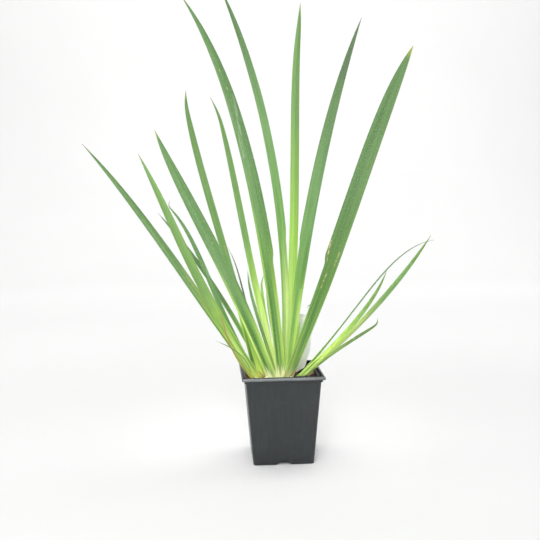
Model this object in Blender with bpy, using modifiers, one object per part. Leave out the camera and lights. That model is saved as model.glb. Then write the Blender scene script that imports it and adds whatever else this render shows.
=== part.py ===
"""Potted large wild iris: sword leaves in three fans on one rhizome, in a square nursery pot.

Metres, +Z up. The origin is the middle of the pot's base, on the surface the pot stands on.
The pot's sides face X and Y, and the fans spread along X.
"""

import math

import bmesh
import bpy
from mathutils import Matrix, Vector

MM = 0.001

# Pot: half widths of the square sections, corner radii and heights
POT_HEIGHT = 99.0 * MM
BASE_HALF = 33.2 * MM
BODY_HALF = 40.8 * MM
COLLAR_HALF = 42.4 * MM
FLANGE_HALF = 45.0 * MM
FLANGE_BOTTOM = POT_HEIGHT - 3.6 * MM
COLLAR_BOTTOM = FLANGE_BOTTOM - 3.0 * MM
WALL = 1.0 * MM
FLOOR = 1.2 * MM
LEDGE = 1.3 * MM
LIP_ROUND = 0.6 * MM
CORNER_STEPS = 4
BODY_CORNER = 3.2 * MM
FLANGE_CORNER = 2.2 * MM

# Drainage notch in the middle of each side of the foot
NOTCH_WIDE = 16.5 * MM
NOTCH_NARROW = 10.0 * MM
NOTCH_HEIGHT = 4.3 * MM
NOTCH_DEEP = 11.0 * MM
DRAIN_LONG = 7.0 * MM
DRAIN_WIDE = 4.0 * MM

# Soil
GAP = 0.4 * MM
SOIL_TOP = 90.0 * MM
SOIL_RELIEF = 0.7 * MM
SOIL_RINGS = 7
SOIL_SIDE_STEPS = 7

# Blades
BLADE_MIN = 0.75 * MM
BLADE_STOUT = 1.1 * MM
TIP_WIDTH = 0.5 * MM
KEEL = 0.06
SHOULDER_RUN = 0.03

# Height of the leaf feet on each fan's part of the rhizome, in millimetres
FAN_FOOT = {"middle_fan": 77.5, "left_fan": 82.0, "right_fan": 86.0}

# Label
LABEL_WIDTH = 22.6 * MM
LABEL_THICK = 0.8 * MM
LABEL_LEAN = math.radians(5.0)
LABEL_PLACE = Vector((21.2 * MM, 14.0 * MM, 87.2 * MM))


def smooth(edge, value):
    """0 below 0, 1 above edge, and an S-curve between."""
    t = min(1.0, max(0.0, value / edge))
    return t * t * (3.0 - 2.0 * t)


def clear_scene():
    for item in list(bpy.data.objects):
        bpy.data.objects.remove(item, do_unlink=True)


def new_collection(name):
    made = bpy.data.collections.new(name)
    bpy.context.scene.collection.children.link(made)
    return made


def material(name, colour, roughness):
    made = bpy.data.materials.new(name)
    made.use_nodes = True
    shader = made.node_tree.nodes["Principled BSDF"]
    shader.inputs["Base Color"].default_value = (*colour, 1.0)
    shader.inputs["Roughness"].default_value = roughness
    shader.inputs["Metallic"].default_value = 0.0
    made.diffuse_color = (*colour, 1.0)
    return made


def add_object(name, bm, collection, skin=None):
    mesh = bpy.data.meshes.new(name)
    bmesh.ops.recalc_face_normals(bm, faces=bm.faces[:])
    bm.to_mesh(mesh)
    bm.free()
    made = bpy.data.objects.new(name, mesh)
    collection.objects.link(made)
    if skin:
        mesh.materials.append(skin)
    return made


def as_cutter(obj):
    obj.hide_render = True
    obj.display_type = "WIRE"
    return obj


def boolean(target, other, operation):
    step = target.modifiers.new(f"{operation.lower()} {other.name}", "BOOLEAN")
    step.operation = operation
    step.solver = "EXACT"
    if isinstance(other, bpy.types.Collection):
        step.operand_type = "COLLECTION"
        step.collection = other
    else:
        step.object = other


def square_ring(bm, half, corner, height, side_steps=1):
    """The vertices of a square with round corners, anticlockwise, each straight side in side_steps."""
    ring = []
    middle = half - corner
    for quarter in range(4):
        turn = Matrix.Rotation(quarter * math.pi / 2.0, 3, "Z")
        for step in range(CORNER_STEPS + 1):
            angle = step * math.pi / 2.0 / CORNER_STEPS
            place = Vector((middle + corner * math.cos(angle), middle + corner * math.sin(angle), height))
            ring.append(bm.verts.new(turn @ place))
        for step in range(1, side_steps):
            place = Vector((middle - 2.0 * middle * step / side_steps, half, height))
            ring.append(bm.verts.new(turn @ place))
    return ring


def bridge(bm, lower, upper):
    count = len(lower)
    for i in range(count):
        bm.faces.new((lower[i], lower[(i + 1) % count], upper[(i + 1) % count], upper[i]))


def loft(bm, sections, side_steps=1):
    """A closed body through square sections of (half width, corner radius, height)."""
    rings = [square_ring(bm, *section, side_steps) for section in sections]
    for lower, upper in zip(rings, rings[1:]):
        bridge(bm, lower, upper)
    bm.faces.new(rings[0])
    bm.faces.new(rings[-1])
    return rings


def wall_half(height):
    """Half width of the pot's outer face at a height below the collar."""
    return BASE_HALF + (BODY_HALF - BASE_HALF) * height / COLLAR_BOTTOM


def prism(bm, wide, narrow, low, high, near, far, side):
    """A block with a trapezoid section, lying against one side of the foot and pointing inwards."""
    block = bmesh.ops.create_cube(bm, size=1.0)["verts"]
    for vertex in block:
        width = narrow if vertex.co.z > 0.0 else wide
        height = high if vertex.co.z > 0.0 else low
        depth = far if vertex.co.y > 0.0 else near
        vertex.co = Vector((vertex.co.x * width, depth, height))
    bmesh.ops.rotate(bm, verts=block, cent=(0, 0, 0), matrix=Matrix.Rotation(side * math.pi / 2.0, 3, "Z"))


def box(bm, low, high):
    block = bmesh.ops.create_cube(bm, size=1.0)["verts"]
    for vertex in block:
        corner = [high[i] if vertex.co[i] > 0.0 else low[i] for i in range(3)]
        vertex.co = Vector(corner) * MM


def foot_blocks(name, collection, grow, low, high):
    """The four blocks over the drainage notches, larger than the notches by grow."""
    bm = bmesh.new()
    for side in range(4):
        prism(
            bm,
            NOTCH_WIDE + 2.0 * grow,
            NOTCH_NARROW + 2.0 * grow,
            low,
            high,
            -BASE_HALF + 0.4 * WALL,
            -BASE_HALF + NOTCH_DEEP + grow,
            side,
        )
    return as_cutter(add_object(name, bm, collection))


def notch_cutter(collection):
    bm = bmesh.new()
    for side in range(4):
        prism(
            bm,
            NOTCH_WIDE * 1.12,
            NOTCH_NARROW,
            -1.0 * MM,
            NOTCH_HEIGHT,
            -BASE_HALF - 4.0 * MM,
            -BASE_HALF + NOTCH_DEEP,
            side,
        )
    return as_cutter(add_object("foot_notches", bm, collection))


def drain_cutter(collection):
    bm = bmesh.new()
    middle = -BASE_HALF + 0.55 * NOTCH_DEEP
    for side in range(4):
        prism(
            bm,
            DRAIN_LONG,
            DRAIN_LONG,
            NOTCH_HEIGHT - 1.0 * MM,
            NOTCH_HEIGHT + 3.0 * MM,
            middle - DRAIN_WIDE / 2.0,
            middle + DRAIN_WIDE / 2.0,
            side,
        )
    return as_cutter(add_object("drain_slots", bm, collection))


def make_pot(parts, cutters, skin):
    inner_rim = COLLAR_HALF - WALL
    inner_body = BODY_HALF - WALL
    ledge = COLLAR_BOTTOM + LEDGE
    bm = bmesh.new()
    loft(bm, (
        (BASE_HALF, BODY_CORNER, 0.0),
        (BODY_HALF, BODY_CORNER, COLLAR_BOTTOM),
        (COLLAR_HALF, BODY_CORNER, COLLAR_BOTTOM),
        (COLLAR_HALF, BODY_CORNER, FLANGE_BOTTOM),
        (FLANGE_HALF, FLANGE_CORNER, FLANGE_BOTTOM),
        (FLANGE_HALF, FLANGE_CORNER, POT_HEIGHT - LIP_ROUND),
        (FLANGE_HALF - LIP_ROUND, FLANGE_CORNER - LIP_ROUND, POT_HEIGHT),
        (inner_rim, BODY_CORNER - WALL, POT_HEIGHT),
        (inner_rim, BODY_CORNER - WALL, ledge),
        (inner_body, BODY_CORNER - WALL, ledge),
        (wall_half(FLOOR) - WALL, BODY_CORNER - WALL, FLOOR),
    ))
    pot = add_object("pot", bm, parts, skin)
    boolean(pot, foot_blocks("notch_roofs", cutters, WALL, 0.3 * MM, NOTCH_HEIGHT + WALL), "UNION")
    boolean(pot, notch_cutter(cutters), "DIFFERENCE")
    boolean(pot, drain_cutter(cutters), "DIFFERENCE")


def soil_height(x, y):
    """Height of the soil's surface, level along the pot's wall."""
    edge = smooth(10.0 * MM, BODY_HALF - 2.0 * WALL - max(abs(x), abs(y)))
    waves = math.sin(x / (6.1 * MM) + 0.7) * math.cos(y / (5.3 * MM)) + 0.6 * math.sin((x + y) / (9.7 * MM))
    return SOIL_TOP + SOIL_RELIEF * edge * waves


def crown_holes(cutters):
    """The plain hole that the rhizome and the leaf bases stand in, as three boxes in millimetres."""
    holes = bpy.data.collections.new("crown_holes")
    cutters.children.link(holes)
    sizes = (
        ("left_hole", (-38.0, -13.6, 69.0), (-15.0, 5.5, 96.0)),
        ("middle_hole", (-29.5, -13.0, 63.5), (16.5, 8.5, 96.0)),
        ("right_hole", (10.0, -8.6, 72.0), (32.0, 6.2, 96.0)),
    )
    for name, low, high in sizes:
        bm = bmesh.new()
        box(bm, low, high)
        as_cutter(add_object(name, bm, holes))
    return holes


def label_slot(cutters):
    bm = bmesh.new()
    box(bm, (-4.2, -0.9, -17.5), (4.2, 0.9, 12.0))
    slot = as_cutter(add_object("label_slot", bm, cutters))
    slot.location = LABEL_PLACE
    slot.rotation_euler = (0.0, LABEL_LEAN, 0.0)
    return slot


def make_soil(parts, cutters, skin):
    top_half = wall_half(SOIL_TOP) - WALL - GAP
    sections = [(wall_half(FLOOR) - WALL - GAP, BODY_CORNER - WALL, FLOOR + GAP)]
    shares = [1.0 - i / SOIL_RINGS for i in range(SOIL_RINGS)]
    sections += [(top_half * share, (BODY_CORNER - WALL) * share, SOIL_TOP) for share in shares]
    bm = bmesh.new()
    for ring in loft(bm, sections, SOIL_SIDE_STEPS)[1:]:
        for vertex in ring:
            vertex.co.z = soil_height(vertex.co.x, vertex.co.y)
    bmesh.ops.triangulate(bm, faces=bm.faces[:])
    soil = add_object("soil", bm, parts, skin)
    boolean(soil, crown_holes(cutters), "DIFFERENCE")
    boolean(soil, label_slot(cutters), "DIFFERENCE")
    clearance = foot_blocks("notch_clearance", cutters, WALL + GAP, 0.3 * MM, NOTCH_HEIGHT + WALL + GAP)
    boolean(soil, clearance, "DIFFERENCE")


def make_rhizome(parts, skin):
    """A knotted creeping stem, wider than it is tall, that carries the three fans."""
    stations = (
        (-34.5, -5.0, 76.2, 4.3), (-30.0, -4.6, 76.2, 5.2), (-24.0, -3.3, 76.3, 5.2),
        (-19.0, -2.4, 75.8, 4.8), (-12.0, -1.4, 71.4, 5.3), (-6.0, -1.4, 71.7, 5.5),
        (0.0, -1.4, 71.7, 5.0), (6.0, -1.4, 71.7, 5.5), (11.0, -1.4, 71.5, 4.0),
        (16.8, -1.2, 79.4, 4.5), (20.0, -1.2, 81.1, 4.4), (25.0, -1.2, 81.1, 4.3),
        (28.5, -1.2, 81.0, 2.8),
    )
    width = 1.45
    curve = bpy.data.curves.new("rhizome", "CURVE")
    curve.dimensions = "3D"
    curve.bevel_depth = MM
    curve.bevel_resolution = 3
    curve.use_fill_caps = True
    spline = curve.splines.new("POLY")
    spline.points.add(len(stations) - 1)
    for point, (x, y, z, radius) in zip(spline.points, stations):
        point.co = (x * MM, y * MM / width, z * MM, 1.0)
        point.radius = radius
    curve.materials.append(skin)
    rhizome = bpy.data.objects.new("rhizome", curve)
    rhizome.scale.y = width
    parts.objects.link(rhizome)


def spine_points(leaf, count):
    """Points and directions along a blade's middle line, from its foot to its tip.

    The lean from upright, in the plane of the fan, changes by bow along the blade and by nod near
    its tip; the lean out of that plane starts at out and changes by spread.
    """
    step = leaf["length"] * MM / count
    place = Vector((leaf["x"], leaf["y"], FAN_FOOT[leaf["fan"]] - leaf["drop"])) * MM
    points = [place.copy()]
    for i in range(count):
        t = (i + 0.5) / count
        lean = math.radians(leaf["lean"] + leaf["bow"] * t + leaf["nod"] * t**5)
        out = math.radians(leaf["out"] + leaf["spread"] * t)
        level = math.cos(out)
        place += step * Vector((math.sin(lean) * level, -math.sin(out), math.cos(lean) * level))
        points.append(place.copy())
    ahead = points[1:] + [2.0 * points[-1] - points[-2]]
    behind = [2.0 * points[0] - points[1]] + points[:-1]
    return [(p, (b - a).normalized()) for p, a, b in zip(points, behind, ahead)]


def half_width(leaf, side, t):
    """Half the blade's width on one side: sheath, shoulder, blade and tapering tip."""
    width = leaf["base"] + (leaf["wide"] - leaf["base"]) * smooth(0.4, t)
    half = width / 2.0
    if side * leaf["shoulder"] > 0.0:
        half -= abs(leaf["shoulder"]) * (1.0 - smooth(SHOULDER_RUN, t - leaf["shoulder_at"])) * abs(side)
    half *= (1.0 - t ** leaf["taper"]) ** 0.9
    return max(half * MM, TIP_WIDTH / 2.0)


def make_leaf(leaf, parts, skin):
    """A flat sword blade with a shallow keel, from a grid that Solidify thickens."""
    across = 4 if leaf["wide"] > 7.0 else 2
    along = max(8, round(leaf["length"] / 22.0))
    spine = spine_points(leaf, along)
    bm = bmesh.new()
    grid = bmesh.ops.create_grid(bm, x_segments=across, y_segments=along, size=1.0)["verts"]
    slope = math.tan(math.radians(leaf["lean"]))
    stout = {}
    for vertex in grid:
        side = vertex.co.x
        station = round((vertex.co.y + 1.0) / 2.0 * along)
        t = station / along
        place, ahead = spine[station]
        flat = Vector((0.0, 1.0, 0.0)).cross(ahead).normalized()
        face = flat.cross(ahead).normalized()
        turn = math.radians(leaf["twist"]) * smooth(0.8, t - 0.15)
        across_blade = flat * math.cos(turn) + face * math.sin(turn)
        normal = across_blade.cross(ahead)
        half = half_width(leaf, side, t)
        keel = 2.0 * half * KEEL * smooth(0.3, t) * (1.0 - abs(side))
        level = side * half * slope * (1.0 - smooth(0.2, t))
        vertex.co = place + across_blade * (side * half) + normal * keel + ahead * level
        stout[vertex.index] = (1.0 - abs(side)) * (1.0 - t)
    bmesh.ops.triangulate(bm, faces=bm.faces[:], quad_method="ALTERNATE")
    blade = add_object(f"{leaf['fan']}_{leaf['name']}", bm, parts, skin)
    group = blade.vertex_groups.new(name="stout")
    for index, weight in stout.items():
        group.add([index], weight, "REPLACE")
    thick = blade.modifiers.new("thickness", "SOLIDIFY")
    thick.thickness = BLADE_STOUT
    thick.offset = 0.0
    thick.vertex_group = "stout"
    thick.thickness_vertex_group = BLADE_MIN / BLADE_STOUT


def leaf_rows():
    """The leaves of each fan, in millimetres and degrees, from the front of the fan to its back.

    name, look, the foot's x and y and its drop below the fan's other feet, length, widest, base width,
    lean, bow, nod, out, spread, twist, taper, shoulder (how far one edge steps out, left edge negative)
    and the share of the length that the shoulder is at
    """
    return {
        "middle_fan": (
            ("broad_left", "deep", -6, -9.6, 0, 314, 13.6, 11, -19, -13, 11, 5, 14, -14, 6, 0, 0),
            ("broad_right", "deep", 0.6, -8, 0, 391, 17, 13, 22.1, -10, 12, 4.5, 16, 16, 9, -2.6, 0.38),
            ("tall_broad", "deep", 2, -6.4, 0, 434, 14.8, 12.4, -4, -14, -18, 4, 5, -18, 4.5, 2, 0.33),
            ("tall_right", "deep", 6.5, -4.8, 0, 409, 13.2, 8.8, 4.6, 12, 4, 2.5, 2, 14, 4.8, -1.4, 0.39),
            ("short_dark", "deep", -1.5, -3.2, 0, 139, 3.6, 3.8, -15, -5, 19, 1.5, 4, 0, 8, 0, 0),
            ("light_left", "bright", -1.5, -1.6, 0, 331, 7.2, 8.6, -13.4, 6, -9, 0, -4, -10, 7, 0, 0),
            ("pale_shoot", "pale", 5.5, -1.6, 0, 80, 5.6, 4.6, 11, 4, -4, 0, 2, 0, 4, 0, 0),
            ("tall_slim", "deep", 3.5, 0, 0, 458, 9.6, 9, 5, -25, -3, -3, -6, -16, 8, 1.2, 0.36),
            ("upright", "bright", 5, 1.6, 0, 443, 9.8, 7.4, 6.1, -9, 14, -4.5, -8, 12, 9, 0, 0),
            ("short_light", "pale", -2, 1.6, 0, 132, 4.5, 4, -10.5, 2, 13, -5, -6, 0, 5, 0, 0),
            ("narrow_strip", "deep", 2.5, 3.2, 0, 119, 3.5, 3.5, -9, -1, 10, -6, -4, 0, 5, 0, 0),
            ("back_left", "deep", -12, 3.2, 0, 237, 5.2, 5.6, -23.5, -17, -1, -6, -10, -8, 6, 0, 0),
            ("thin_left", "dry", -2.5, 4.8, 1.2, 170, 2.2, 2.6, -28.5, 30, -32, -8, -6, 0, 5, 0, 0),
            ("thin_hooked", "bright", 5, 4.8, 0, 104, 3, 3, 22, 2, -30, -2, 0, 0, 8, 0, 0),
        ),
        "left_fan": (
            ("tall", "bright", -22, 0, 0, 342, 8, 11, -13.5, -4, 10, -3, -8, 10, 10, 0, 0),
            ("bright", "bright", -19.9, -6.4, 1, 292, 10, 9, -33.5, 18, -11, 8, 10, 12, 5, 0, 0),
            ("low_arching", "deep", -24.5, -4.4, 0, 325, 9, 6, -32, -1, -7, 4, 18, -12, 3.8, 0, 0),
            ("hooked", "deep", -23, -2.4, 0, 230, 5.4, 6.6, -29.5, 17.4, -35.7, -1, -6, 8, 6, 0, 0),
            ("dried", "dry", -21.2, -8.4, 2, 109, 1.8, 2.4, -48.5, 49, -17, 10, 6, 0, 4, 0, 0),
            ("dried_curl", "dry", -33.5, -10.2, 2.7, 80, 1.4, 1.8, 11, -96, 25, 12, 10, 0, 5, 0, 0),
        ),
        "right_fan": (
            ("hooked", "bright", 21, -4.6, 0, 114, 3.8, 3.8, 45, 19, -14, 6, 8, 0, 8, 0, 0),
            ("sheath_leaf", "bright", 18, -2.6, 0, 161, 5.4, 8.2, 49, -18, -16, 3, 14, -8, 5, 0, 0),
            ("long", "bright", 16.5, -0.6, 0, 222, 5.8, 6.4, 53.5, -20, -1, 0, 4, 10, 6, 0, 0),
            ("thin_arching", "deep", 17.5, 1.6, 0, 224, 1.6, 3.4, 44, -15, 54, -3, 6, 0, 6, 0, 0),
        ),
    }


LEAF_FIELDS = (
    "name", "look", "x", "y", "drop", "length", "wide", "base", "lean", "bow", "nod", "out", "spread",
    "twist", "taper", "shoulder", "shoulder_at",
)


def make_label(parts, skin):
    """A blank stake label: a board with round top corners that narrows to a stake in the soil."""
    half = LABEL_WIDTH / 2.0
    radius = 3.0 * MM
    side = [
        (1.0 * MM, -14.0 * MM),
        (2.2 * MM, -2.0 * MM),
        (3.0 * MM, 3.0 * MM),
        (5.1 * MM, 7.2 * MM),
        (7.5 * MM, 13.0 * MM),
        (half, 31.0 * MM),
    ]
    for step in range(5):
        angle = step * math.pi / 8.0
        side.append((half - radius * (1.0 - math.cos(angle)), 68.4 * MM + radius * math.sin(angle)))
    outline = side + [(-x, y) for x, y in reversed(side)]
    curve = bpy.data.curves.new("label", "CURVE")
    curve.dimensions = "2D"
    curve.fill_mode = "BOTH"
    curve.extrude = LABEL_THICK / 2.0
    spline = curve.splines.new("POLY")
    spline.use_cyclic_u = True
    spline.points.add(len(outline) - 1)
    for point, (x, y) in zip(spline.points, outline):
        point.co = (x, y, 0.0, 1.0)
    curve.materials.append(skin)
    label = bpy.data.objects.new("label", curve)
    label.matrix_world = (
        Matrix.Translation(LABEL_PLACE)
        @ Matrix.Rotation(LABEL_LEAN, 4, "Y")
        @ Matrix.Rotation(math.pi / 2.0, 4, "X")
    )
    parts.objects.link(label)


def make_bark_chip(name, x, y, size, turn, parts, skin):
    """A flat splinter of bark, narrower at one end, lying on the soil."""
    bm = bmesh.new()
    block = bmesh.ops.create_cube(bm, size=1.0)["verts"]
    long, wide, thick = (value * MM for value in size)
    for vertex in block:
        narrow = 0.55 if vertex.co.x > 0.0 else 1.0
        top = 0.75 if vertex.co.z > 0.0 else 1.0
        vertex.co = Vector((
            vertex.co.x * long * top,
            vertex.co.y * wide * narrow * top,
            (vertex.co.z + 0.5) * thick * (1.0 if vertex.co.x > 0.0 else 0.7),
        ))
    chip = add_object(name, bm, parts, skin)
    chip.rotation_euler = (0.0, 0.0, math.radians(turn))
    reach = [i / 4.0 - 0.5 for i in range(5)]
    c, s = math.cos(math.radians(turn)), math.sin(math.radians(turn))
    under = max(
        soil_height(x * MM + long * a * c - wide * b * s, y * MM + long * a * s + wide * b * c)
        for a in reach for b in reach
    )
    chip.location = (x * MM, y * MM, under + GAP)


def make_bark(parts, skin):
    chips = (
        ("bark_chip_1", 33.6, 0.5, (9.0, 4.5, 2.8), 25.0),
        ("bark_chip_2", -26.0, 14.0, (8.0, 4.0, 1.8), -35.0),
        ("bark_chip_3", 3.0, 24.0, (10.0, 4.6, 2.0), 70.0),
        ("bark_chip_4", -12.0, -26.0, (9.0, 4.2, 1.9), 155.0),
    )
    for chip in chips:
        make_bark_chip(*chip, parts, skin)


def main():
    clear_scene()
    parts = new_collection("potted_large_wild_iris")
    cutters = new_collection("cutters")
    cutters.hide_render = True
    looks = {
        "deep": material("leaf deep green", (0.115, 0.245, 0.075), 0.45),
        "bright": material("leaf bright green", (0.22, 0.42, 0.07), 0.42),
        "pale": material("leaf pale shoot", (0.45, 0.62, 0.16), 0.45),
        "dry": material("leaf dried", (0.42, 0.22, 0.08), 0.7),
    }
    make_pot(parts, cutters, material("black nursery plastic", (0.035, 0.040, 0.044), 0.5))
    make_soil(parts, cutters, material("dark potting soil", (0.03, 0.018, 0.011), 0.95))
    make_rhizome(parts, material("rhizome skin", (0.30, 0.19, 0.09), 0.8))
    for fan, rows in leaf_rows().items():
        for row in rows:
            leaf = dict(zip(LEAF_FIELDS, row), fan=fan)
            make_leaf(leaf, parts, looks[leaf["look"]])
    make_label(parts, material("white label plastic", (0.82, 0.82, 0.80), 0.4))
    make_bark(parts, material("red-brown bark", (0.26, 0.09, 0.04), 0.9))


main()
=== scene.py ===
"""Looks for the potted large wild iris: fine leaves with veins, a ribbed pot, crumbly soil and light.

Metres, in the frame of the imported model. The camera and the light come first, then the pieces from
the pot upwards, each with its own material.
"""

import math
import random

import bmesh
import bpy
from mathutils import Matrix, Vector, noise


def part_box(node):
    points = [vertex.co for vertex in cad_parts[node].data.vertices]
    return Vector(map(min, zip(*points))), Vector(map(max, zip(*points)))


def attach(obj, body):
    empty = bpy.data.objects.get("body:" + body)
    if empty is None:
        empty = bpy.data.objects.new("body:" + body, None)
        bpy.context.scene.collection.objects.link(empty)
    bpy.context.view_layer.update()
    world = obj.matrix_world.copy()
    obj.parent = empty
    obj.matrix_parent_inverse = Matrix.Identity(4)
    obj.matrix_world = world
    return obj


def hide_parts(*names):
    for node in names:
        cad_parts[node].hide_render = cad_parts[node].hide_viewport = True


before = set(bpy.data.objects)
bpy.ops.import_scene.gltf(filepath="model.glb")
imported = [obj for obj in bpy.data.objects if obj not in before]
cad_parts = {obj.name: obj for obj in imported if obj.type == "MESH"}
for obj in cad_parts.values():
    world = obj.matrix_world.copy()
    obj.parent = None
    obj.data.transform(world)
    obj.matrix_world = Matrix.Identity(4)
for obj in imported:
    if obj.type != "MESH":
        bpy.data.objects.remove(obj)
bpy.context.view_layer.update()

MM = 0.001
BODY = "root"

# Camera, solved from the corners of the pot in the photograph
CAMERA_PLACE = Vector((-76.7, -878.2, 294.1)) * MM
CAMERA_YAW = math.radians(4.30)
CAMERA_PITCH = math.radians(5.43)
CAMERA_ROLL = math.radians(-0.61)
FOCAL_PIXELS = 800.0
IMAGE_PIXELS = 540.0
SENSOR = 36.0

# Pot: half widths of the square sections, heights, corners, foot, ribs and edges
POT_HEIGHT = 99.0 * MM
BASE_HALF = 33.2 * MM
BODY_HALF = 40.8 * MM
COLLAR_HALF = 42.4 * MM
FLANGE_HALF = 45.0 * MM
FLANGE_BOTTOM = POT_HEIGHT - 3.6 * MM
COLLAR_BOTTOM = FLANGE_BOTTOM - 3.0 * MM
WALL = 1.0 * MM
FLOOR = 1.2 * MM
LEDGE = 1.3 * MM
BODY_CORNER = 3.2 * MM
FLANGE_CORNER = 2.4 * MM
NOTCH_WIDE = 16.5 * MM
NOTCH_NARROW = 10.0 * MM
NOTCH_HEIGHT = 4.3 * MM
NOTCH_DEEP = 11.0 * MM
DRAIN_LONG = 7.0 * MM
DRAIN_WIDE = 4.0 * MM
CORNER_STEPS = 8
RIB_PITCH = 3.6 * MM
RIB_DEPTH = 0.10 * MM
RIB_STEPS = 10
LIP_ROUND = 2.3 * MM
EDGE_ROUND = 0.35 * MM
POT_SHARP = 35.0
# Shift of the rim's lighter band towards -x, so that its painted highlight reaches further in on the +x side
PAINTED_HIGHLIGHT_SHIFT = 0.8 * MM

# Soil surface, its relief in millimetres, with crumbs, splinters and the tilt of the propped bark chip
SOIL_TOP = 90.0 * MM
SOIL_RELIEF = 0.7
CLOD_RELIEF = 0.75
SOIL_STEPS = 96
SLAB_DEEP = 4.0 * MM
CRUMB_COUNT = 900
CRUMB_SEED = 11
FIBRE_COUNT = 70
FIBRE_SEED = 23
FIBRE_STEPS = 6
CHIP_TILT = 0.35
CHIP_LIFT = 0.8 * MM

# Blades: STATION, VEIN_PITCH and WAVE_RUN are lengths in millimetres, as are the heights of the fans' feet
BLADE_EDGE = 0.34 * MM
BLADE_MIDDLE = 1.0 * MM
TIP_WIDTH = 0.4 * MM
KEEL = 0.09
SHOULDER_RUN = 0.03
STATION = 4.2
VEIN_PITCH = 0.95
VEIN_HEIGHT = 0.045 * MM
WAVE_RUN = 17.0
WAVE_HEIGHT = 0.22 * MM
FAN_FOOT = {"middle_fan": 77.5, "left_fan": 82.0, "right_fan": 86.0}

# Label; LABEL_TALL is the height where its round top corners start
LABEL_WIDTH = 22.6 * MM
LABEL_THICK = 0.8 * MM
LABEL_TALL = 68.4 * MM
LABEL_CORNER = 3.0 * MM
LABEL_BEVEL = 0.15 * MM
LABEL_LEAN = math.radians(5.0)
LABEL_PLACE = Vector((21.2 * MM, 14.0 * MM, 87.2 * MM))


def smooth(edge, value):
    """0 below 0, 1 above edge, and an S-curve between."""
    t = min(1.0, max(0.0, value / edge))
    return t * t * (3.0 - 2.0 * t)


def link(obj):
    bpy.context.scene.collection.objects.link(obj)
    return obj


def finish_mesh(name, bm, skin, smooth_angle=None):
    """Turns bm into an object with its faces outwards; sharp above smooth_angle, in degrees."""
    bmesh.ops.recalc_face_normals(bm, faces=bm.faces[:])
    mesh = bpy.data.meshes.new(name)
    bm.to_mesh(mesh)
    bm.free()
    mesh.materials.append(skin)
    mesh.shade_smooth()
    if smooth_angle is not None:
        mesh.set_sharp_from_angle(angle=math.radians(smooth_angle))
    return link(bpy.data.objects.new(name, mesh))


def settle(obj):
    """Applies the object's modifiers to its mesh."""
    graph = bpy.context.evaluated_depsgraph_get()
    made = bpy.data.meshes.new_from_object(obj.evaluated_get(graph))
    obj.modifiers.clear()
    obj.data = made


class Look:
    """A Principled material and short ways to add nodes to it."""

    def __init__(self, name, roughness=0.5, **settings):
        self.material = bpy.data.materials.new(name)
        self.material.use_nodes = True
        self.tree = self.material.node_tree
        self.shader = self.tree.nodes["Principled BSDF"]
        self.shader.inputs["Roughness"].default_value = roughness
        for key, value in settings.items():
            self.shader.inputs[key.replace("_", " ")].default_value = value

    def feed(self, socket, value):
        if isinstance(value, bpy.types.NodeSocket):
            self.tree.links.new(value, socket)
        elif isinstance(value, tuple) and len(value) == 3 and len(socket.default_value) == 4:
            socket.default_value = (*value, 1.0)
        else:
            socket.default_value = value

    def add(self, kind, inputs=(), **settings):
        made = self.tree.nodes.new(kind)
        for key, value in settings.items():
            setattr(made, key, value)
        for key, value in dict(inputs).items():
            self.feed(made.inputs[key], value)
        return made

    def math(self, operation, first, second=0.0):
        return self.add("ShaderNodeMath", {0: first, 1: second}, operation=operation).outputs[0]

    def times(self, first, second):
        return self.math("MULTIPLY", first, second)

    def fit(self, value, low, high, to_low=0.0, to_high=1.0):
        """Value from low to high, as to_low to to_high, held at both ends."""
        inputs = {"Value": value, "From Min": low, "From Max": high, "To Min": to_low, "To Max": to_high}
        return self.add("ShaderNodeMapRange", inputs, interpolation_type="SMOOTHSTEP").outputs[0]

    def blend(self, share, first, second, way="MIX"):
        mix = self.add("ShaderNodeMix", data_type="RGBA", blend_type=way)
        self.feed(mix.inputs[0], share)
        self.feed(mix.inputs[6], first)
        self.feed(mix.inputs[7], second)
        return mix.outputs[2]

    def ramp(self, value, stops):
        made = self.add("ShaderNodeValToRGB", {"Fac": value})
        elements = made.color_ramp.elements
        elements[0].position, elements[0].color = stops[0][0], (*stops[0][1], 1.0)
        elements[1].position, elements[1].color = stops[-1][0], (*stops[-1][1], 1.0)
        for position, colour in stops[1:-1]:
            elements.new(position).color = (*colour, 1.0)
        return made.outputs[0]

    def noise(self, place, scale, detail=3.0, roughness=0.55):
        inputs = {"Vector": place, "Scale": scale, "Detail": detail, "Roughness": roughness}
        return self.add("ShaderNodeTexNoise", inputs).outputs[0]

    def object_place(self):
        return self.add("ShaderNodeTexCoord").outputs["Object"]

    def vector(self, x, y, z):
        return self.add("ShaderNodeCombineXYZ", {"X": x, "Y": y, "Z": z}).outputs[0]

    def split(self, place):
        return self.add("ShaderNodeSeparateXYZ", {"Vector": place}).outputs[:]

    def stretch(self, parts, scales):
        """A place for a texture, from three parts with a scale each."""
        return self.vector(*[self.times(part, scale) for part, scale in zip(parts, scales)])

    def blade_parts(self):
        """Across from -1 to 1, along from 0 to 1, and the length run, where a blade's mesh gives it."""
        return self.split(self.add("ShaderNodeAttribute", attribute_name="blade").outputs["Vector"])

    def colour(self, value):
        self.feed(self.shader.inputs["Base Color"], value)

    def roughness(self, value):
        self.feed(self.shader.inputs["Roughness"], value)

    def bump(self, height, strength, distance):
        bump = self.add("ShaderNodeBump", {"Height": height, "Strength": strength, "Distance": distance})
        self.feed(self.shader.inputs["Normal"], bump.outputs[0])


def darker(look, share, colour, factor):
    """Colour times factor, by the share given."""
    return look.blend(share, colour, look.blend(1.0, colour, factor, "MULTIPLY"))


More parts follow.
